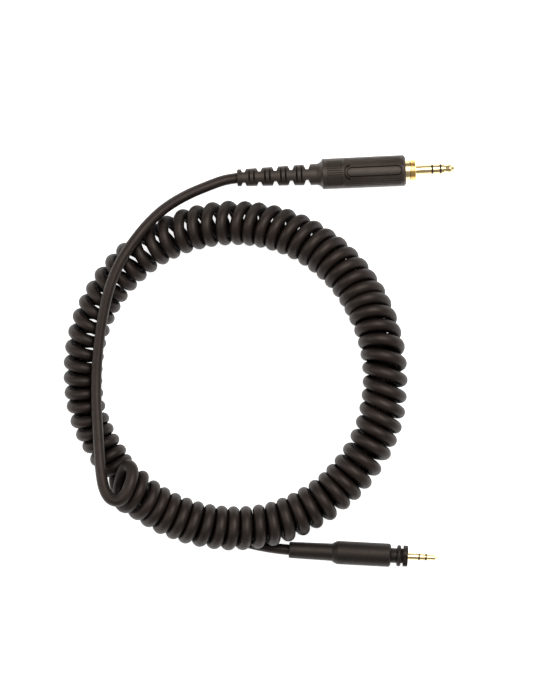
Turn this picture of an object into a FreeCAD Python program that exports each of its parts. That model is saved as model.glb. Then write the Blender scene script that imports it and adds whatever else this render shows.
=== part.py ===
import FreeCAD, Part
import math
import os

# A curly headphone lead: a 3.5 mm plug for the player, a coiled cord laid in a ring, and a
# 2.5 mm bayonet plug for the ear cup.  Millimetres, +Z up, everything lies on z = 0.
# The origin is under the middle of the box round the two plugs.
# Each plug is built along its own axis: s = 0 at the shoulder where the bare pin starts,
# s grows towards the tip of the pin, and the cord leaves at the most negative s.

os.makedirs("parts", exist_ok=True)

V = FreeCAD.Vector
X, Y, Z = V(1, 0, 0), V(0, 1, 0), V(0, 0, 1)

# ---- cord
cord_r = 2.0
cord_gap = 0.05               # bore of a boot over the cord's jacket
coil_r = 7.85                 # outer radius of the curly stretch
plug_bite = 3.0               # how far a boot's rear end holds the free cord

# ---- both plugs
core_r = 3.3                  # inner mould, boot root and collar root
core_gap = 0.1
slip = 0.02                   # assembly gap between turned parts that slide together
film = 0.2                    # wall of an insulating tube
tag_t = 0.35
wire_r = 0.3
solder_r = 0.5
crimp_length = 2.2
shank_step = 0.35             # how far the pin's shank stands out, behind its shoulder

# ---- 3.5 mm plug
player_axis_deg = 2.54
player_shoulder = (26.0, 70.80)
player = dict(
    pin_r=1.75, rod_r=0.5, ring_wall=0.25, pin_length=14.4, waist_r=1.25, bulb_r=1.62, nose_r=0.85,
    nose_length=1.4, tip_step=1.15, bands=(6.1, 9.2), band_width=0.7,
    sleeve_rear=-6.6, tag_gap=1.5, cord_end=-17.5)
grip_r = 5.65
grip_front_r = 5.75
grip_front = -3.8
grip_rear = -37.1
grip_flare = 2.6
grip_chamfer = 0.65
collar_neck_r = 3.65
collar_thread_r = 3.95
thread_length = 2.5
thread_pitch = 0.55
thread_depth = 0.3
collar_flange_step = 0.6      # how far its flange stands out behind the grip's front lip
collar_flange_t = 1.0
boot_rear_r = 3.15
boot_front_r = 3.92
boot_length = 29.1
boot_collar = 2.0             # plain front end of the boot, against the grip
neck_pitch = 5.88
neck_count = 5
notch_top = 2.6
notch_floor = 0.9
slot_offset = 0.9             # from the middle of a ring to the middle of a slot
slot_width = 0.6
badge_width = 3.7
badge_front = 1.3             # land between the badge's field and the grip's front face
badge_length = 20.6
badge_t = 0.5
badge_sink = 0.35
badge_gap = 0.35
badge_groove = (0.7, 0.6)     # width and depth of the groove round the badge's rear end
flute_r = 0.22
flute_step_deg = 8.5
flute_short = 5.6
flute_rows = 6                # short flutes each side of the middle one

# ---- 2.5 mm plug
earcup_axis_deg = -3.06
earcup_shoulder = (23.1, -72.39)
earcup = dict(
    pin_r=1.25, rod_r=0.3, ring_wall=0.2, pin_length=10.9, waist_r=0.98, bulb_r=0.98, nose_r=0.4,
    nose_length=0.75, tip_step=0.45, bands=(4.2, 6.75), band_width=0.6,
    sleeve_rear=-10.4, tag_gap=1.5, cord_end=-19.5)
barrel_r = 4.35
barrel_front = -6.35
barrel_rear = -27.3
barrel_chamfer = 1.25
barrel_lip_t = 1.3
barrel_lip_round = 0.65
barrel_mouth_r = 3.85
bay_shoulder = 0.55           # how far the collar's root stands out behind the barrel's lip
bay_neck_r = core_r - bay_shoulder
bay_ring_r = 4.0
bay_ring = (-4.05, -2.6)
bay_disc_r = 3.92
bay_disc_t = 1.7
bay_flat = 3.2                # half the width across the disc's two flats
bay_turn_deg = 25.0
bay_root = 2.4
sleeve_boot_rear_r = 3.02
sleeve_boot_front_r = 3.25
sleeve_boot_flare_r = 3.8
sleeve_boot_flare = 0.9
sleeve_boot_length = 16.8
boot_round = 0.45
boot_root = 8.0

# ---- route of the cord, chosen by hand (x, y, z)
player_lead_points = [
    (-50.90, 65.20, 6.50), (-60.20, 61.30, 8.70), (-68.70, 55.70, 12.60), (-76.10, 47.50, 16.30),
    (-83.10, 36.90, 18.10), (-87.40, 26.30, 18.20), (-90.10, 13.70, 18.00), (-91.80, -1.10, 17.80),
    (-92.00, -13.70, 17.90), (-90.70, -31.10, 18.40), (-90.20, -41.00, 19.20), (-88.10, -48.10, 19.20),
    (-83.60, -52.60, 17.80)]
earcup_lead_points = [
    (-87.91, -38.85, 4.60), (-86.32, -45.33, 3.40), (-82.88, -50.69, 2.50), (-77.92, -54.39, 2.10),
    (-69.41, -58.83, 2.05), (-55.35, -62.16, 2.10), (-42.03, -66.05, 2.05), (-33.15, -68.38, 2.60)]

# ---- the ring that the curly stretch lies in: clockwise from +Y (degrees, radius, and how far
# it is lifted off the surface, over the lead that passes under it and over its own far end)
ring_x, ring_y = -42.40, -5.37
coil_stations = [
    (232, 54.2, 0.05), (246, 54.2, 0.05), (266, 54.5, 0.05), (289, 55.4, 0.05),
    (312, 56.2, 0.05), (335, 56.6, 0.05), (358, 56.7, 0.05), (381, 56.6, 0.05),
    (404, 56.8, 0.05), (427, 57, 0.05), (450, 57.3, 0.05), (473, 57.5, 0.05),
    (496, 56.8, 0.05), (518, 56.6, 0.35), (535, 56.6, 2.05), (550, 56.5, 3.95),
    (563, 56.2, 4.45), (573, 55.8, 5.55), (580, 55.4, 8.15), (585, 55, 10.75)]


# ---------------------------------------------------------------- helpers

def turned(outline):
    """A solid turned about the plug's axis from (s, r) points; a point with a third value
    'arc' is the middle of an arc between its neighbours."""
    edges = []
    ring = list(outline) + [outline[0]]
    i = 0
    while i < len(ring) - 1:
        start = V(ring[i][0], ring[i][1], 0)
        if len(ring[i + 1]) == 3:
            middle = V(ring[i + 1][0], ring[i + 1][1], 0)
            end = V(ring[i + 2][0], ring[i + 2][1], 0)
            edges.append(Part.Arc(start, middle, end).toShape())
            i += 2
        else:
            edges.append(Part.LineSegment(start, V(ring[i + 1][0], ring[i + 1][1], 0)).toShape())
            i += 1
    return Part.Face(Part.Wire(edges)).revolve(V(), X, 360)


def tube(s0, s1, r_in, r_out):
    return turned([(s0, r_in), (s1, r_in), (s1, r_out), (s0, r_out)])


def rod(s0, s1, r, y=0.0, z=0.0):
    return Part.makeCylinder(r, s1 - s0, V(s0, y, z), X)


def block(s0, s1, y0, y1, z0, z1):
    return Part.makeBox(s1 - s0, y1 - y0, z1 - z0, V(s0, y0, z0))


def lay(shape, shoulder, height, degrees):
    """Put a piece that was built along its plug's own axis where the plug lies."""
    shape = shape.copy()
    shape.rotate(V(), Z, degrees)
    shape.translate(V(shoulder[0], shoulder[1], height))
    return shape


def along(shoulder, height, degrees, s):
    """The place of s on a plug's axis."""
    a = math.radians(degrees)
    return (shoulder[0] + s * math.cos(a), shoulder[1] + s * math.sin(a), height)


def piped(name, points, radius):
    """A round bar along straight runs joined by tangent arcs, with 0.45 of the shorter run
    taken up by each arc."""
    pts = [V(*p) for p in points]
    edges = []
    radii = []
    start = pts[0]
    for before, corner, after in zip(pts, pts[1:], pts[2:]):
        to, away = (corner - before), (after - corner)
        reach = 0.45 * min(to.Length, away.Length)
        half = to.getAngle(away) / 2
        radii.append(reach / math.tan(half))
        to.normalize()
        away.normalize()
        p0, p1 = corner - to * reach, corner + away * reach
        inward = (away - to).normalize()
        middle = corner + inward * (radii[-1] / math.cos(half) - radii[-1])
        edges.append(Part.LineSegment(start, p0).toShape())
        edges.append(Part.Arc(p0, middle, p1).toShape())
        start = p1
    edges.append(Part.LineSegment(start, pts[-1]).toShape())
    path = Part.Wire(edges)
    heading = (pts[1] - pts[0]).normalize()
    section = Part.Wire([Part.Circle(pts[0], heading, radius).toShape()])
    solid = path.makePipeShell([section], True, False, 2)
    expected = math.pi * radius ** 2 * path.Length
    print("%-12s length %7.1f  volume/expected %.4f  radii %s" % (
        name, path.Length, solid.Volume / expected, " ".join("%.0f" % r for r in radii)))
    return solid


# ---------------------------------------------------------------- the inside of either plug

def contacts(p):
    """The concentric stack of a three-pole pin, from the rod of the tip outwards."""
    band = p["band_width"] / 2
    rear_band, front_band = p["bands"]
    r1 = p["rod_r"]
    r2 = r1 + film
    r3 = r2 + p["ring_wall"]
    r4 = r3 + film
    pin = p["pin_r"]
    end = p["pin_length"]
    sleeve_rear = p["sleeve_rear"]
    sleeve_front = rear_band - band
    ring_rear = sleeve_rear - p["tag_gap"]
    rod_rear = ring_rear - p["tag_gap"]
    stub = 0.4                                     # each tube shows this far behind the next
    step = front_band + band + p["tip_step"]
    nose = end - p["nose_length"]
    tip = turned([
        (rod_rear - stub, 0), (end, 0), (end, p["nose_r"] * 0.5),
        (end - p["nose_r"] * 0.3, p["nose_r"] * 0.9, "arc"), (end - p["nose_r"] * 0.8, p["nose_r"] * 1.2),
        (nose, p["bulb_r"]), (nose - p["nose_length"] * 0.3, p["bulb_r"]),
        (step + 0.35, p["waist_r"]), (step, p["waist_r"]), (step - 0.2, pin),
        (front_band + band, pin), (front_band + band, r1), (rod_rear - stub, r1)])
    return {
        "tip_contact": tip,
        "inner_insulating_tube": tube(ring_rear - 2 * stub, front_band - band, r1, r2),
        "front_insulator": tube(front_band - band, front_band + band, r1, pin),
        "ring_contact": tube(ring_rear - stub, front_band - band, r2, r3).fuse(
            tube(rear_band + band, front_band - band, r3, pin)).removeSplitter(),
        "rear_insulator": tube(rear_band - band, rear_band + band, r3, pin),
        "outer_insulating_tube": tube(sleeve_rear - stub, sleeve_front, r3, r4),
        "sleeve_contact": turned([
            (sleeve_rear, r4), (sleeve_front, r4), (sleeve_front, pin), (0, pin),
            (0, pin + shank_step), (sleeve_rear + tag_t, pin + shank_step),
            (sleeve_rear + tag_t, pin), (sleeve_rear, pin)]),
    }


def terminals(p):
    """Solder tags on the rear of the pin, the stripped cord, its three conductors and the
    solder between them."""
    r1 = p["rod_r"]
    r3 = r1 + film + p["ring_wall"]
    ring_tag_r = r3 + 0.9
    tip_tag_r = r1 + 0.6
    ground_r = cord_r + tag_t
    sleeve_rear = p["sleeve_rear"]
    ring_rear = sleeve_rear - p["tag_gap"]
    rod_rear = ring_rear - p["tag_gap"]
    tongue_end = rod_rear - 3.0
    joint = tongue_end + 1.2
    cord_end = p["cord_end"]
    half = 0.6                                     # half the width of a tongue

    ring_tongue = block(tongue_end, ring_rear, ring_tag_r - tag_t, ring_tag_r, -half, half)
    tip_tongue = block(tongue_end, rod_rear, -tip_tag_r, tag_t - tip_tag_r, -half, half)
    crimp_start = cord_end - crimp_length
    ground_tongue = block(crimp_start, sleeve_rear, -half, half, -ground_r, -cord_r)
    crimp_gap = block(crimp_start, cord_end, -half, half, 0, 2 * cord_r)
    crimp = tube(crimp_start, cord_end, cord_r, ground_r).cut(crimp_gap)

    tags = {
        "ring_tag": tube(ring_rear, ring_rear + tag_t, r3, ring_tag_r).fuse(ring_tongue),
        "tip_tag": tube(rod_rear, rod_rear + tag_t, r1, tip_tag_r).fuse(tip_tongue),
        "ground_crimp": tube(sleeve_rear, sleeve_rear + tag_t, p["pin_r"], ground_r).fuse(
            [ground_tongue, crimp]),
    }
    tags = {name: shape.removeSplitter() for name, shape in tags.items()}
    places = {
        "right_conductor": (ring_tag_r - tag_t - wire_r, 0.0),
        "left_conductor": (tag_t - tip_tag_r + wire_r, 0.0),
        "ground_conductor": (0.0, wire_r - cord_r),
    }
    wires = {name: rod(cord_end, joint, wire_r, *at) for name, at in places.items()}
    blobs = []
    for at in places.values():
        blob = Part.makeSphere(solder_r, V(joint, at[0], at[1]))
        blobs.append(blob.cut(list(tags.values()) + list(wires.values())))
    return dict(tags, **wires), Part.makeCompound(blobs)


def plug_inside(p, mould_front, mould_rear):
    """Everything from the pin to the end of the jacket, in the hollow mould that holds it."""
    pieces = contacts(p)
    more, solder = terminals(p)
    pieces.update(more)
    pieces["solder_joints"] = solder
    room_rear = p["cord_end"] - crimp_length - core_gap
    room_front = p["sleeve_rear"] + tag_t + core_gap
    room_r = cord_r + tag_t + core_gap
    shank_bore = p["pin_r"] + shank_step + slip
    pieces["inner_mould"] = turned([
        (mould_rear, cord_r + slip), (room_rear, cord_r + slip), (room_rear, room_r),
        (room_front, room_r), (room_front, shank_bore), (mould_front, shank_bore),
        (mould_front, core_r), (mould_rear, core_r)])
    return pieces


# ---------------------------------------------------------------- 3.5 mm plug, outside

def stadium(front, length, width, z0, z1):
    """A long hole with round ends that runs back from front."""
    r = width / 2
    bar = block(front - length + r, front - r, -r, r, z0, z1)
    ends = [Part.makeCylinder(r, z1 - z0, V(s, 0, z0), Z) for s in (front - r, front - length + r)]
    return bar.fuse(ends).removeSplitter()


def player_grip():
    bore = core_r + core_gap
    flange_r = collar_neck_r + collar_flange_step
    flange_back = grip_front - grip_chamfer - collar_flange_t
    body = turned([
        (grip_rear, boot_front_r), (grip_rear + grip_flare * 0.55, boot_front_r + 0.35, "arc"),
        (grip_rear + grip_flare, grip_r), (grip_front - grip_chamfer, grip_front_r),
        (grip_front, grip_front_r - grip_chamfer), (grip_front, collar_neck_r + slip),
        (grip_front - grip_chamfer, collar_neck_r + slip),
        (grip_front - grip_chamfer, flange_r + slip), (flange_back, flange_r + slip),
        (flange_back, bore), (grip_rear, bore)])
    field = stadium(grip_front - badge_front, badge_length, badge_width, 0, 2 * grip_r)
    floor = rod(grip_rear, grip_front, grip_r - badge_sink - badge_t)
    body = body.cut(field.cut(floor))
    return body.cut(grip_flutes())


def grip_flutes():
    """Fine lengthwise flutes: a short patch behind the badge, and a longer row each side."""
    patch_front = grip_front - badge_front - badge_length - 1.6
    side_front = grip_front - 2.0
    flutes = []
    for i in range(-flute_rows, flute_rows + 1):
        a = math.radians(i * flute_step_deg)
        y, z = grip_r * math.sin(a), grip_r * math.cos(a)
        flutes.append(rod(patch_front - flute_short, patch_front, flute_r, y, z))
    for i in range(4):
        for side in (-1, 1):
            a = side * math.radians(34 + i * flute_step_deg)
            y, z = grip_front_r * math.sin(a), grip_front_r * math.cos(a)
            flutes.append(rod(side_front - badge_length, side_front, flute_r, y, z))
    a = badge_width / 2 + 1.1                      # groove round the rear end of the badge
    centre = V(grip_front - badge_front - badge_length + badge_width / 2, 0, 0)
    width, depth = badge_groove
    wall = Part.makeCylinder(a, 2 * grip_r, centre, Z).cut(
        Part.makeCylinder(a - width, 2 * grip_r, centre, Z))
    behind = block(centre.x - 2 * a, centre.x - 0.6, -2 * a, 2 * a, 0, 2 * grip_r)
    arc = wall.common(behind).cut(rod(grip_rear, grip_front, grip_r - depth))
    return flutes + [arc]


def player_badge_plate():
    front = grip_front - badge_front - badge_gap
    plate = stadium(front, badge_length - 2 * badge_gap, badge_width - 2 * badge_gap, 0, 2 * grip_r)
    top = grip_r - badge_sink
    return plate.common(tube(grip_rear, grip_front, top - badge_t + slip, top))


def player_threaded_collar():
    flange_front = grip_front - grip_chamfer
    flange_r = collar_neck_r + collar_flange_step
    bore = player["pin_r"] + shank_step
    outline = [(flange_front - collar_flange_t, bore), (0, bore),
               (0, collar_thread_r - thread_depth)]
    crests = int(thread_length / thread_pitch)
    for i in range(crests):
        s = -i * thread_pitch
        outline += [(s - 0.3 * thread_pitch, collar_thread_r), (s - 0.6 * thread_pitch, collar_thread_r),
                    (s - thread_pitch, collar_thread_r - thread_depth)]
    outline += [(-thread_length, collar_neck_r), (flange_front, collar_neck_r),
                (flange_front, flange_r), (flange_front - collar_flange_t, flange_r)]
    return turned(outline)


def player_strain_relief():
    front = grip_rear
    rear = front - boot_length
    bore = cord_r + cord_gap
    plain = front - boot_collar
    body = turned([
        (rear, bore), (rear, boot_rear_r - boot_round),
        (rear + boot_round * 0.3, boot_rear_r - boot_round * 0.3, "arc"),
        (rear + boot_round, boot_rear_r), (plain, boot_front_r), (front, boot_front_r),
        (front, core_r), (front + boot_root, core_r), (front + boot_root, bore)])
    cuts = []
    first = plain - neck_pitch * 0.2
    for i in range(neck_count):
        s = first - i * neck_pitch
        for side in (-1, 1):
            cuts.append(notch(s, side))
        if i < neck_count - 1:
            middle = s - neck_pitch / 2
            for offset in (-slot_offset, slot_offset):
                s0, s1 = middle + offset - slot_width / 2, middle + offset + slot_width / 2
                cuts.append(block(s0, s1, -boot_front_r, boot_front_r, 0.95 * cord_r, 2 * boot_front_r))
                cuts.append(block(s0, s1, -boot_front_r, boot_front_r, -2 * boot_front_r, -0.95 * cord_r))
    return body.cut(cuts)


def notch(s, side):
    """A V with a flat floor, cut into one side of the boot down to the cord."""
    deep, high = side * 0.95 * cord_r, side * (boot_front_r + 0.6)
    corners = [V(s - notch_floor / 2, deep, -boot_front_r), V(s + notch_floor / 2, deep, -boot_front_r),
               V(s + notch_top * 0.6, high, -boot_front_r), V(s - notch_top * 0.6, high, -boot_front_r)]
    return Part.Face(Part.makePolygon(corners + corners[:1])).extrude(Z * 2 * boot_front_r)


# ---------------------------------------------------------------- 2.5 mm plug, outside

def earcup_barrel():
    bore = core_r + core_gap
    return turned([
        (barrel_rear, barrel_mouth_r), (barrel_rear + barrel_chamfer, barrel_r),
        (barrel_front - barrel_lip_round, barrel_r),
        (barrel_front - barrel_lip_round * 0.25, barrel_r - barrel_lip_round * 0.6, "arc"),
        (barrel_front, bay_neck_r + 0.35), (barrel_front, bay_neck_r + slip),
        (barrel_front - barrel_lip_t, bay_neck_r + slip), (barrel_front - barrel_lip_t, bore),
        (barrel_rear, bore)])


def earcup_bayonet_collar():
    bore = earcup["pin_r"] + shank_step
    root_front = barrel_front - barrel_lip_t
    r0, r1 = bay_ring
    middle = (r0 + r1) / 2
    body = turned([
        (root_front - bay_root, bore), (0, bore), (0, bay_disc_r - 0.2), (-0.2, bay_disc_r),
        (-bay_disc_t, bay_disc_r), (-bay_disc_t, bay_neck_r), (r1, bay_neck_r),
        (r1, bay_ring_r - 0.45), (middle, bay_ring_r, "arc"), (r0, bay_ring_r - 0.45),
        (r0, bay_neck_r), (root_front, bay_neck_r), (root_front, core_r),
        (root_front - bay_root, core_r)])
    flats = []
    for side in (0, 180):
        flat = block(-bay_disc_t, 0, -bay_disc_r, bay_disc_r, bay_flat, 2 * bay_disc_r)
        flat.rotate(V(), X, side + bay_turn_deg)
        flats.append(flat)
    return body.cut(flats)


def earcup_strain_relief():
    front = barrel_rear
    rear = front - sleeve_boot_length
    bore = cord_r + cord_gap
    return turned([
        (rear, bore), (rear, sleeve_boot_rear_r - boot_round),
        (rear + boot_round * 0.3, sleeve_boot_rear_r - boot_round * 0.3, "arc"),
        (rear + boot_round, sleeve_boot_rear_r), (front - sleeve_boot_flare, sleeve_boot_front_r),
        (front, sleeve_boot_flare_r), (front, core_r), (front + boot_root * 0.6, core_r),
        (front + boot_root * 0.6, bore)])


# ---------------------------------------------------------------- cord

def coil_points():
    """Corners of the ring's route, set outwards so that the route itself has the radii."""
    points = []
    for i, (degrees, radius, lift) in enumerate(coil_stations):
        low = coil_stations[max(i - 1, 0)][0]
        high = coil_stations[min(i + 1, len(coil_stations) - 1)][0]
        outward = radius / math.cos(math.radians((high - low) / 4))
        if i in (0, len(coil_stations) - 1):
            outward = radius
        a = math.radians(degrees)
        points.append((ring_x + outward * math.sin(a), ring_y + outward * math.cos(a), coil_r + lift))
    return points


def main():
    player_lay = (player_shoulder, grip_front_r, player_axis_deg)
    earcup_lay = (earcup_shoulder, barrel_r, earcup_axis_deg)
    boot_rear = grip_rear - boot_length
    sleeve_rear = barrel_rear - sleeve_boot_length

    nodes = {}
    outside = {
        "player_grip": player_grip(), "player_badge_plate": player_badge_plate(),
        "player_threaded_collar": player_threaded_collar(),
        "player_strain_relief": player_strain_relief(),
        "player_cord_end": rod(boot_rear + plug_bite, player["cord_end"], cord_r)}
    mould_front = grip_front - grip_chamfer - collar_flange_t
    inside = plug_inside(player, mould_front, grip_rear + boot_root)
    outside.update({"player_" + name: shape for name, shape in inside.items()})
    for name, shape in outside.items():
        nodes[name] = lay(shape, *player_lay)

    outside = {
        "earcup_barrel": earcup_barrel(), "earcup_bayonet_collar": earcup_bayonet_collar(),
        "earcup_strain_relief": earcup_strain_relief(),
        "earcup_cord_end": rod(sleeve_rear + plug_bite, earcup["cord_end"], cord_r)}
    mould_front = barrel_front - barrel_lip_t - bay_root
    inside = plug_inside(earcup, mould_front, barrel_rear + boot_root * 0.6)
    outside.update({"earcup_" + name: shape for name, shape in inside.items()})
    for name, shape in outside.items():
        nodes[name] = lay(shape, *earcup_lay)

    lead = [along(*player_lay, boot_rear + plug_bite), along(*player_lay, boot_rear - plug_bite)]
    nodes["player_lead"] = piped("player lead", lead + player_lead_points, cord_r)
    lead = [along(*earcup_lay, sleeve_rear - plug_bite), along(*earcup_lay, sleeve_rear + plug_bite)]
    nodes["earcup_lead"] = piped("earcup lead", earcup_lead_points + lead, cord_r)
    nodes["coil"] = piped("coil", coil_points(), coil_r)

    for name, shape in sorted(nodes.items()):
        if not shape.isValid():
            raise ValueError(name + " is not a valid solid")
        shape.exportStep("parts/%s.step" % name)
    print(len(nodes), "nodes")


main()
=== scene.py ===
import math
import random

import bpy
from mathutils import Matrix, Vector


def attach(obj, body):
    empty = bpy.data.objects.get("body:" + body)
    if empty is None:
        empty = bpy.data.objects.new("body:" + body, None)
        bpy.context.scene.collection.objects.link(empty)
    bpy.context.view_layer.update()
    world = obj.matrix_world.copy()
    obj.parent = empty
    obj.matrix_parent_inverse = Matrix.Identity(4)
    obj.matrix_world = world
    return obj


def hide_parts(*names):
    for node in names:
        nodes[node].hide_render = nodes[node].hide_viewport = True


# A curly headphone lead laid in a ring: a 3.5 mm plug for the player, one cord from plug to
# plug whose middle is wound into a left-handed curl, and a 2.5 mm bayonet plug for an ear cup.
# The lengths below are in millimetres and are turned into metres by MM.

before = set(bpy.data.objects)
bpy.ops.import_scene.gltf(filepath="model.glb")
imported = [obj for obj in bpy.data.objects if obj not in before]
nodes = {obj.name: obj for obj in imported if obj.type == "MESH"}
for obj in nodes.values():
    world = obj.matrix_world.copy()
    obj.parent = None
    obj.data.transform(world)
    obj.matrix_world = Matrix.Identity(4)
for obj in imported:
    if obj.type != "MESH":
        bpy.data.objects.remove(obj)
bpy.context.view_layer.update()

MM = 0.001


def place(x, y, z):
    return Vector((x, y, z)) * MM


# ---------------------------------------------------------------- camera, lights and floor

def make_camera():
    """Straight above, far enough off for a product photograph's flat view."""
    data = bpy.data.cameras.new("camera")
    data.sensor_width = 36.0
    data.lens = 207.4
    data.clip_start, data.clip_end = 0.05, 10.0
    camera = bpy.data.objects.new("camera", data)
    camera.location = place(-27.97, 4.07, 1500.0)
    bpy.context.scene.collection.objects.link(camera)
    bpy.context.scene.camera = camera


def area_light(name, at, towards, size, power):
    data = bpy.data.lights.new(name, "AREA")
    data.shape = "RECTANGLE"
    data.size, data.size_y = size
    data.energy = power
    light = bpy.data.objects.new(name, data)
    light.location = Vector(at)
    aim = Vector(towards) - Vector(at)
    light.rotation_euler = aim.to_track_quat("-Z", "Y").to_euler()
    bpy.context.scene.collection.objects.link(light)


def make_studio():
    world = bpy.data.worlds.new("world")
    world.use_nodes = True
    background = world.node_tree.nodes["Background"]
    background.inputs["Color"].default_value = (1.0, 1.0, 1.0, 1.0)
    background.inputs["Strength"].default_value = 0.24
    bpy.context.scene.world = world
    area_light("soft_box_top", (0.25, 0.35, 1.1), (-0.03, 0.0, 0.0), (0.9, 0.9), 11.5)
    area_light("soft_box_left", (-0.9, 0.1, 0.7), (-0.03, 0.0, 0.0), (0.5, 0.9), 3.0)
    scene = bpy.context.scene
    scene.view_settings.view_transform = "Standard"
    scene.view_settings.look = "None"
    scene.view_settings.exposure = 0.0


def make_floor(material):
    half = 1.6
    mesh = bpy.data.meshes.new("floor")
    mesh.from_pydata([(-half, -half, 0), (half, -half, 0), (half, half, 0), (-half, half, 0)], [],
                     [(0, 1, 2, 3)])
    mesh.materials.append(material)
    floor = bpy.data.objects.new("floor", mesh)
    floor.location.z = -0.0001
    bpy.context.scene.collection.objects.link(floor)


# ---------------------------------------------------------------- materials

def shader(name):
    """A new material's node tree and its main shader."""
    material = bpy.data.materials.new(name)
    material.use_nodes = True
    tree = material.node_tree
    return material, tree, tree.nodes["Principled BSDF"]


def add(tree, kind, **values):
    """A node with its sockets set by name, with _ for a space."""
    node = tree.nodes.new(kind)
    for key, value in values.items():
        node.inputs[key.replace("_", " ")].default_value = value
    return node


def ramp(tree, source, stops):
    node = tree.nodes.new("ShaderNodeValToRGB")
    tree.links.new(source, node.inputs["Fac"])
    elements = node.color_ramp.elements
    while len(elements) < len(stops):
        elements.new(0.5)
    for element, (at, colour) in zip(elements, stops):
        element.position = at
        element.color = (*colour, 1.0)
    return node.outputs["Color"]


def spread_of(tree, source, low, high):
    node = tree.nodes.new("ShaderNodeMapRange")
    tree.links.new(source, node.inputs["Value"])
    node.inputs["To Min"].default_value = low
    node.inputs["To Max"].default_value = high
    return node.outputs["Result"]


def moulded(name, dark, light, rough, grain_scale, grain, crevice=0.0015, shade=-0.15):
    """A moulded or extruded plastic: mottled colour, uneven gloss, a fine grain, and a painted
    shade that darkens crevices of about this size and takes away their gloss, the more the lower
    shade is."""
    material, tree, bsdf = shader(name)
    where = tree.nodes.new("ShaderNodeTexCoord")
    mottle = add(tree, "ShaderNodeTexNoise", Scale=120.0, Detail=6.0, Roughness=0.6)
    fine = add(tree, "ShaderNodeTexNoise", Scale=grain_scale, Detail=3.0, Roughness=0.6)
    for node in (mottle, fine):
        tree.links.new(where.outputs["Object"], node.inputs["Vector"])
    # painted shade: an ambient occlusion node pulls the colour towards half the dark tone where
    # other surfaces lie close
    painted_shade_ao = add(tree, "ShaderNodeAmbientOcclusion", Distance=crevice)
    open_to_light = spread_of(tree, painted_shade_ao.outputs["AO"], shade, 1.0)
    colour = add(tree, "ShaderNodeMixRGB", Color1=tuple(c * 0.5 for c in dark) + (1.0,))
    tree.links.new(open_to_light, colour.inputs["Fac"])
    tree.links.new(ramp(tree, mottle.outputs["Fac"], [(0.3, dark), (0.7, light)]),
                   colour.inputs["Color2"])
    tree.links.new(colour.outputs["Color"], bsdf.inputs["Base Color"])
    # painted shade also lowers the gloss in the same crevices
    tree.links.new(spread_of(tree, open_to_light, 0.02, 0.42),
                   bsdf.inputs["Specular IOR Level"])
    scuff = add(tree, "ShaderNodeTexNoise", Scale=450.0, Detail=4.0, Roughness=0.65)
    tree.links.new(where.outputs["Object"], scuff.inputs["Vector"])
    tree.links.new(spread_of(tree, scuff.outputs["Fac"], rough - 0.12, rough + 0.14),
                   bsdf.inputs["Roughness"])
    bump = add(tree, "ShaderNodeBump", Strength=grain, Distance=0.00006)
    tree.links.new(fine.outputs["Fac"], bump.inputs["Height"])
    tree.links.new(bump.outputs["Normal"], bsdf.inputs["Normal"])
    bsdf.inputs["Specular Tint"].default_value = (1.0, 0.84, 0.74, 1.0)
    return material


def metal(name, base, deep, rough, scratch):
    """A plated metal with faint turning marks and a little tarnish."""
    material, tree, bsdf = shader(name)
    where = tree.nodes.new("ShaderNodeTexCoord")
    tarnish = add(tree, "ShaderNodeTexNoise", Scale=300.0, Detail=4.0, Roughness=0.6)
    fine = add(tree, "ShaderNodeTexNoise", Scale=4000.0, Detail=2.0, Roughness=0.5)
    for node in (tarnish, fine):
        tree.links.new(where.outputs["Object"], node.inputs["Vector"])
    tree.links.new(ramp(tree, tarnish.outputs["Fac"], [(0.3, deep), (0.65, base)]),
                   bsdf.inputs["Base Color"])
    tree.links.new(spread_of(tree, tarnish.outputs["Fac"], rough - 0.04, rough + 0.06),
                   bsdf.inputs["Roughness"])
    bump = add(tree, "ShaderNodeBump", Strength=scratch, Distance=0.00002)
    tree.links.new(fine.outputs["Fac"], bump.inputs["Height"])
    tree.links.new(bump.outputs["Normal"], bsdf.inputs["Normal"])
    bsdf.inputs["Metallic"].default_value = 1.0
    return material


def floor_material():
    material, tree, bsdf = shader("floor_white")
    bsdf.inputs["Base Color"].default_value = (0.86, 0.86, 0.86, 1.0)
    bsdf.inputs["Roughness"].default_value = 0.9
    bsdf.inputs["Emission Color"].default_value = (1.0, 1.0, 1.0, 1.0)
    bsdf.inputs["Emission Strength"].default_value = 0.85
    return material


# ---------------------------------------------------------------- the cord's line

def nurbs(name, points, radii=None, resolution=8):
    """A curve of one open spline whose control points are these points, in millimetres."""
    data = bpy.data.curves.new(name, "CURVE")
    data.dimensions = "3D"
    spline = data.splines.new("NURBS")
    spline.points.add(len(points) - 1)
    for i, (x, y, z) in enumerate(points):
        spline.points[i].co = (x * MM, y * MM, z * MM, 1.0)
        spline.points[i].radius = radii[i] if radii else 1.0
    spline.order_u = 3
    spline.use_endpoint_u = True
    spline.resolution_u = resolution
    return data


def line_of(data):
    """The points that a curve's line goes through, in millimetres."""
    bare = bpy.data.objects.new("bare", data)
    mesh = bpy.data.meshes.new_from_object(bare)
    line = [v.co / MM for v in mesh.vertices]
    bpy.data.meshes.remove(mesh)
    bpy.data.objects.remove(bare)
    return line


def between(stations, at):
    """The row of the stations' values at a place between two of them."""
    low = stations[0]
    for high in stations[1:]:
        if at <= high[0]:
            break
        low = high
    share = (at - low[0]) / max(high[0] - low[0], 1e-9)
    share = min(max(share, 0.0), 1.0)
    return [a + (b - a) * share for a, b in zip(low[1:], high[1:])]


RING_X, RING_Y = -42.40, -5.37
CURL_R = 7.85                 # outer radius of the curl on the coil's route
WIRE_R = 2.22                 # radius of the cord in the curl
LEAD_SHARE = 0.88             # the straight leads are a little thinner

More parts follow.
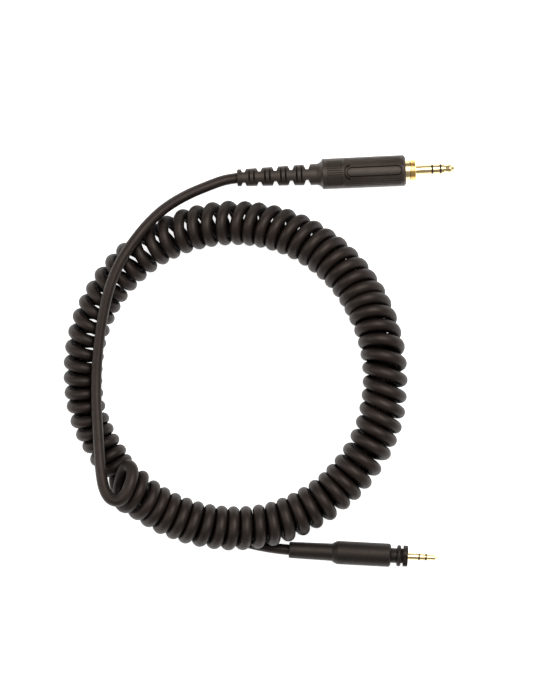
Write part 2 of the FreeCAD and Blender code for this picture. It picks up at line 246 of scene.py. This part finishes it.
# the ring's route: degrees clockwise from +Y, radius, and lift off the surface
RING = [
    (227, 54.7, 0.05), (246, 54.9, 0.05), (266, 54.7, 0.05), (289, 55.2, 0.05),
    (312, 55.6, 0.05), (335, 55.9, 0.05), (358, 56.4, 0.05), (381, 57.0, 0.05),
    (404, 57.1, 0.05), (427, 56.7, 0.05), (450, 56.9, 0.05), (473, 57.8, 0.05),
    (496, 57.3, 0.05), (518, 57.0, 0.35), (535, 56.5, 2.05), (550, 56.1, 3.95),
    (563, 55.9, 4.45), (573, 55.7, 5.25), (580, 55.4, 6.90), (585, 55.0, 8.60)]

# how the turns lie along it: turn, degrees of its outer tip, radius of the curl's centreline,
# how far its outer side leans clockwise, how far its top leans anticlockwise, how much more
# its inner half does, and the cord's radius there as a share of WIRE_R
TURNS = [
    (-1, 228.6, 4.70, -0.05, 0.05, 0.00, 1.00), (0, 233.0, 4.70, -0.06, 0.08, 0.00, 1.00),
    (5, 259.0, 4.90, -0.08, 0.10, 0.00, 0.99), (8, 274.8, 5.15, -0.07, 0.13, 0.03, 1.00),
    (11, 291.3, 5.30, -0.07, 0.16, 0.12, 0.99), (15, 313.8, 5.70, -0.08, 0.21, 0.15, 0.97),
    (18, 331.4, 5.95, -0.08, 0.24, 0.08, 0.96),
    (20, 343.0, 6.10, -0.08, 0.25, 0.14, 0.97), (24, 364.8, 6.15, -0.06, 0.24, 0.12, 0.97),
    (28, 384.9, 6.30, -0.01, 0.27, 0.10, 0.99), (30, 395.0, 6.25, 0.00, 0.34, 0.04, 1.03),
    (33, 409.6, 6.20, 0.05, 0.38, 0.00, 1.04), (36, 424.8, 6.15, 0.10, 0.44, 0.00, 1.05),
    (38, 435.0, 6.00, 0.14, 0.40, 0.00, 1.06), (39, 440.4, 6.00, 0.15, 0.30, 0.00, 1.07),
    (40, 445.8, 6.00, 0.16, 0.14, 0.00, 1.07), (41, 451.5, 6.05, 0.17, 0.00, 0.00, 1.06),
    (42, 457.0, 6.10, 0.15, -0.05, 0.00, 1.05), (44, 467.6, 6.20, 0.10, -0.04, 0.00, 1.05),
    (45, 472.4, 6.20, -0.02, 0.00, 0.00, 1.05), (46, 477.2, 6.20, -0.13, 0.00, 0.00, 1.05),
    (47, 483.0, 6.10, -0.17, 0.00, 0.00, 1.05), (50, 498.8, 5.90, -0.13, 0.02, 0.00, 1.04),
    (52, 509.6, 5.85, -0.08, 0.02, 0.00, 1.04), (55, 525.4, 5.80, -0.03, -0.02, 0.00, 1.04),
    (57, 535.8, 5.85, -0.03, 0.02, 0.00, 1.04), (60, 550.8, 5.95, -0.05, 0.08, 0.00, 1.05),
    (62, 560.4, 5.90, -0.10, 0.10, 0.00, 1.05), (64, 569.8, 5.95, -0.17, 0.14, 0.00, 1.05),
    (65, 574.8, 6.00, -0.24, 0.20, 0.00, 1.03), (66, 579.6, 6.10, -0.32, 0.28, 0.00, 1.00)]
PER_TURN = 16                 # control points in one turn
FIRST_TURN, LAST_TURN = -0.5, 65.4375
TIPS_R = 62.5                 # how far from the ring's middle the turns' outer tips lie
AHEAD_DEG = 1.5               # how far along the ring its direction is taken, each way
# how unevenly the turns lie: their spacing in degrees, their radius and their lean
CHANCE_SEED = 11
UNEVEN_SPACING, UNEVEN_RADIUS, UNEVEN_LEAN = 0.3, 0.08, 0.03
ROUTE_STEPS, CORD_STEPS = 12, 4     # points of a line for each of its control points

# from the large plug's boot, over the ring, to its raised end (x, y, z)
PLAYER_LEAD = [
    (-50.90, 64.90, 6.50), (-60.10, 60.90, 8.70), (-68.50, 55.30, 12.60), (-75.90, 47.30, 16.20),
    (-83.10, 36.90, 17.60), (-87.40, 26.30, 17.40), (-90.10, 13.70, 16.30), (-91.80, -1.10, 15.10),
    (-92.00, -13.70, 15.10), (-91.20, -27.00, 16.00), (-90.60, -36.50, 17.00),
    (-90.00, -41.60, 18.20)]
# the first turn and a half, which stand open over the coil's other end and are too uneven for
# the loop that makes the rest
FIRST_LOOP = [
    (-89.30, -45.50, 19.30), (-88.20, -48.40, 20.20), (-86.60, -50.50, 20.90),
    (-84.20, -51.40, 21.60), (-82.00, -50.60, 22.20), (-80.40, -48.40, 22.60),
    (-79.30, -45.60, 22.60), (-78.40, -42.60, 21.60), (-78.30, -39.90, 19.90),
    (-79.60, -38.20, 17.80), (-81.20, -38.70, 16.00), (-82.40, -41.00, 14.20),
    (-83.00, -43.60, 12.80), (-83.70, -46.60, 12.20), (-83.90, -49.60, 12.80),
    (-83.40, -52.20, 14.20), (-81.80, -53.90, 16.20), (-79.60, -53.50, 18.60),
    (-77.60, -51.30, 20.20), (-76.00, -48.10, 20.90), (-74.90, -44.80, 19.20),
    (-74.60, -42.30, 16.40)]
# from the last turn, on the surface and under the ring, to the small plug's boot
EARCUP_LEAD = [
    (-82.60, -37.60, 4.50), (-84.30, -39.60, 2.60), (-85.60, -41.90, 2.20), (-86.00, -44.60, 2.15),
    (-85.10, -47.70, 2.10), (-82.60, -51.10, 2.05), (-77.92, -54.60, 2.00),
    (-69.41, -58.83, 2.00), (-55.35, -62.16, 2.00), (-42.03, -66.05, 2.00), (-33.15, -68.38, 2.60)]

PLAYER_SHOULDER, PLAYER_Z, PLAYER_DEG, PLAYER_BOOT_REAR = (26.00, 70.80), 5.75, 2.54, -66.2
EARCUP_SHOULDER, EARCUP_Z, EARCUP_DEG, EARCUP_BOOT_REAR = (23.10, -72.39), 4.35, -3.06, -44.1
BITE = 3.0                    # how far a boot's rear end holds the cord


def on_axis(shoulder, height, degrees, s):
    a = math.radians(degrees)
    return (shoulder[0] + s * math.cos(a), shoulder[1] + s * math.sin(a), height)


def ring_line():
    """Points along the middle of the curl, each with its degrees along the ring."""
    corners = []
    for i, (degrees, radius, lift) in enumerate(RING):
        low = RING[max(i - 1, 0)][0]
        high = RING[min(i + 1, len(RING) - 1)][0]
        outward = radius / math.cos(math.radians((high - low) / 4))
        if i in (0, len(RING) - 1):
            outward = radius
        a = math.radians(degrees)
        corners.append((RING_X + outward * math.sin(a), RING_Y + outward * math.cos(a),
                        CURL_R + lift))
    data = nurbs("ring_route", corners, resolution=ROUTE_STEPS)
    line = line_of(data)
    bpy.data.curves.remove(data)
    rows = []
    before = RING[0][0]
    for p in line:
        degrees = math.degrees(math.atan2(p.x - RING_X, p.y - RING_Y))
        degrees += 360 * round((before - degrees) / 360)
        before = degrees
        rows.append((degrees, p.x, p.y, p.z))
    return rows


def curl_points():
    """The curl's control points from its raised turn back to its far end on the surface."""
    route = ring_line()
    chance = random.Random(CHANCE_SEED)
    shuffle = [(i - 1, chance.uniform(-UNEVEN_SPACING, UNEVEN_SPACING),
                chance.uniform(-UNEVEN_RADIUS, UNEVEN_RADIUS),
                chance.uniform(-UNEVEN_LEAN, UNEVEN_LEAN))
               for i in range(int(LAST_TURN) + 3)]
    swell = 1 / math.cos(math.pi / PER_TURN)
    count = round((LAST_TURN - FIRST_TURN) * PER_TURN)
    points, shares = [], []
    for i in range(count + 1):
        turn = LAST_TURN - i / PER_TURN
        tip, radius, lean, back, inner, share = between(TURNS, turn)
        spacing, size, twist = between(shuffle, turn)
        radius += size
        lean += twist
        middle = tip + spacing - math.degrees(lean * radius / TIPS_R)
        x, y, z = between(route, middle)
        xa, ya, za = between(route, middle - AHEAD_DEG)
        xb, yb, zb = between(route, middle + AHEAD_DEG)
        ahead = Vector((xb - xa, yb - ya, zb - za)).normalized()
        out = Vector((x - RING_X, y - RING_Y, 0)).normalized()
        up = out.cross(ahead).normalized()
        up = up if up.z > 0 else -up
        z += radius + WIRE_R - CURL_R
        phase = 2 * math.pi * turn
        side = radius * swell * math.cos(phase)
        rise = -radius * swell * math.sin(phase)
        back += inner * (1 - math.cos(phase)) / 2
        p = Vector((x, y, z)) + out * side + up * rise + ahead * (lean * side - back * rise)
        points.append(tuple(p))
        shares.append(share)
    return points, shares


def cord_line():
    """Every control point of the cord from one plug to the other, and its thickness there."""
    player = [on_axis(PLAYER_SHOULDER, PLAYER_Z, PLAYER_DEG, PLAYER_BOOT_REAR + s)
              for s in (BITE, -BITE)]
    earcup = [on_axis(EARCUP_SHOULDER, EARCUP_Z, EARCUP_DEG, EARCUP_BOOT_REAR + s)
              for s in (-BITE, BITE)]
    curl, shares = curl_points()
    before, after = player + PLAYER_LEAD, EARCUP_LEAD + earcup
    points = before + FIRST_LOOP + curl + after
    radii = ([LEAD_SHARE] * len(before) + [shares[0]] * len(FIRST_LOOP) + shares
             + [LEAD_SHARE] * len(after))
    eased = []
    for i in range(len(radii)):
        near = radii[max(i - 2, 0):i + 3]
        eased.append(sum(near) / len(near))
    return points, eased


def make_cord(material):
    points, radii = cord_line()
    data = nurbs("cord", points, radii, resolution=CORD_STEPS)
    data.bevel_depth = WIRE_R * MM
    data.bevel_resolution = 6
    data.use_fill_caps = True
    data.materials.append(material)
    cord = bpy.data.objects.new("cord", data)
    bpy.context.scene.collection.objects.link(cord)
    return cord, points


def length_along(points):
    """How long the line of these control points is, in metres."""
    bare = nurbs("bare_line", points, resolution=CORD_STEPS)
    path = line_of(bare)
    bpy.data.curves.remove(bare)
    return sum((b - a).length for a, b in zip(path, path[1:])) * MM


make_camera()
make_studio()
make_floor(floor_material())

# painted shade: the 8 mm occlusion reach darkens the cord's sides near the floor and the gaps
# between turns, deeply at shade -0.4
jacket = moulded("jacket_black", (0.0090, 0.0056, 0.0045), (0.0185, 0.0125, 0.0101), 0.48,
                 2600.0, 0.35, crevice=0.008, shade=-0.4)
cord, cord_points = make_cord(jacket)
cord_length = length_along(cord_points)
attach(cord, "root")
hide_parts("player_lead", "coil", "earcup_lead")

# ---------------------------------------------------------------- finishes on the CAD pieces

# each of these plastics gets the painted shade of moulded in its grooves, slots and recesses of
# about 1.5 mm
grip = moulded("grip_black", (0.024, 0.0178, 0.0142), (0.038, 0.0298, 0.0245), 0.42, 3200.0, 0.3)
boot = moulded("boot_black", (0.023, 0.0172, 0.0138), (0.036, 0.0285, 0.0240), 0.45, 2600.0, 0.3)
satin = moulded("satin_black", (0.0062, 0.0045, 0.0036), (0.0108, 0.0084, 0.0070), 0.52, 4200.0, 0.2)
sleeve_boot = moulded("sleeve_boot_black", (0.0068, 0.0048, 0.0039), (0.0120, 0.0092, 0.0076), 0.50,
                      2600.0, 0.3)
badge = moulded("badge_black", (0.024, 0.0195, 0.0165), (0.036, 0.030, 0.026), 0.40, 3600.0, 0.25)
insulator = moulded("insulator_black", (0.012, 0.010, 0.009), (0.02, 0.018, 0.016), 0.3, 3000.0, 0.1)
white = moulded("white_plastic", (0.68, 0.66, 0.6), (0.78, 0.76, 0.7), 0.4, 2000.0, 0.15)
red = moulded("red_plastic", (0.42, 0.03, 0.025), (0.52, 0.05, 0.04), 0.4, 2000.0, 0.15)
gold = metal("gold_plate", (1.0, 0.80, 0.44), (0.94, 0.70, 0.34), 0.22, 0.08)
brass = metal("tag_brass", (0.82, 0.66, 0.36), (0.66, 0.5, 0.25), 0.34, 0.5)
tin = metal("solder_tin", (0.66, 0.66, 0.68), (0.5, 0.5, 0.52), 0.4, 0.6)
copper = metal("copper_wire", (0.86, 0.5, 0.36), (0.7, 0.36, 0.24), 0.32, 0.5)

FINISH = {
    "grip": grip, "badge_plate": badge, "strain_relief": boot, "barrel": satin,
    "bayonet_collar": satin, "threaded_collar": gold, "sleeve_contact": gold,
    "ring_contact": gold, "tip_contact": gold, "rear_insulator": insulator,
    "front_insulator": insulator, "outer_insulating_tube": white, "inner_insulating_tube": white,
    "tip_tag": brass, "ring_tag": brass, "ground_crimp": brass, "inner_mould": white,
    "sleeve_boot": sleeve_boot, "left_conductor": white, "right_conductor": red,
    "ground_conductor": copper, "solder_joints": tin, "cord_end": jacket}

for name, node in nodes.items():
    kind = name.split("_", 1)[1] if "_" in name else name
    if name == "earcup_strain_relief":
        kind = "sleeve_boot"
    if kind in FINISH:
        for slot in node.material_slots:
            slot.material = FINISH[kind]
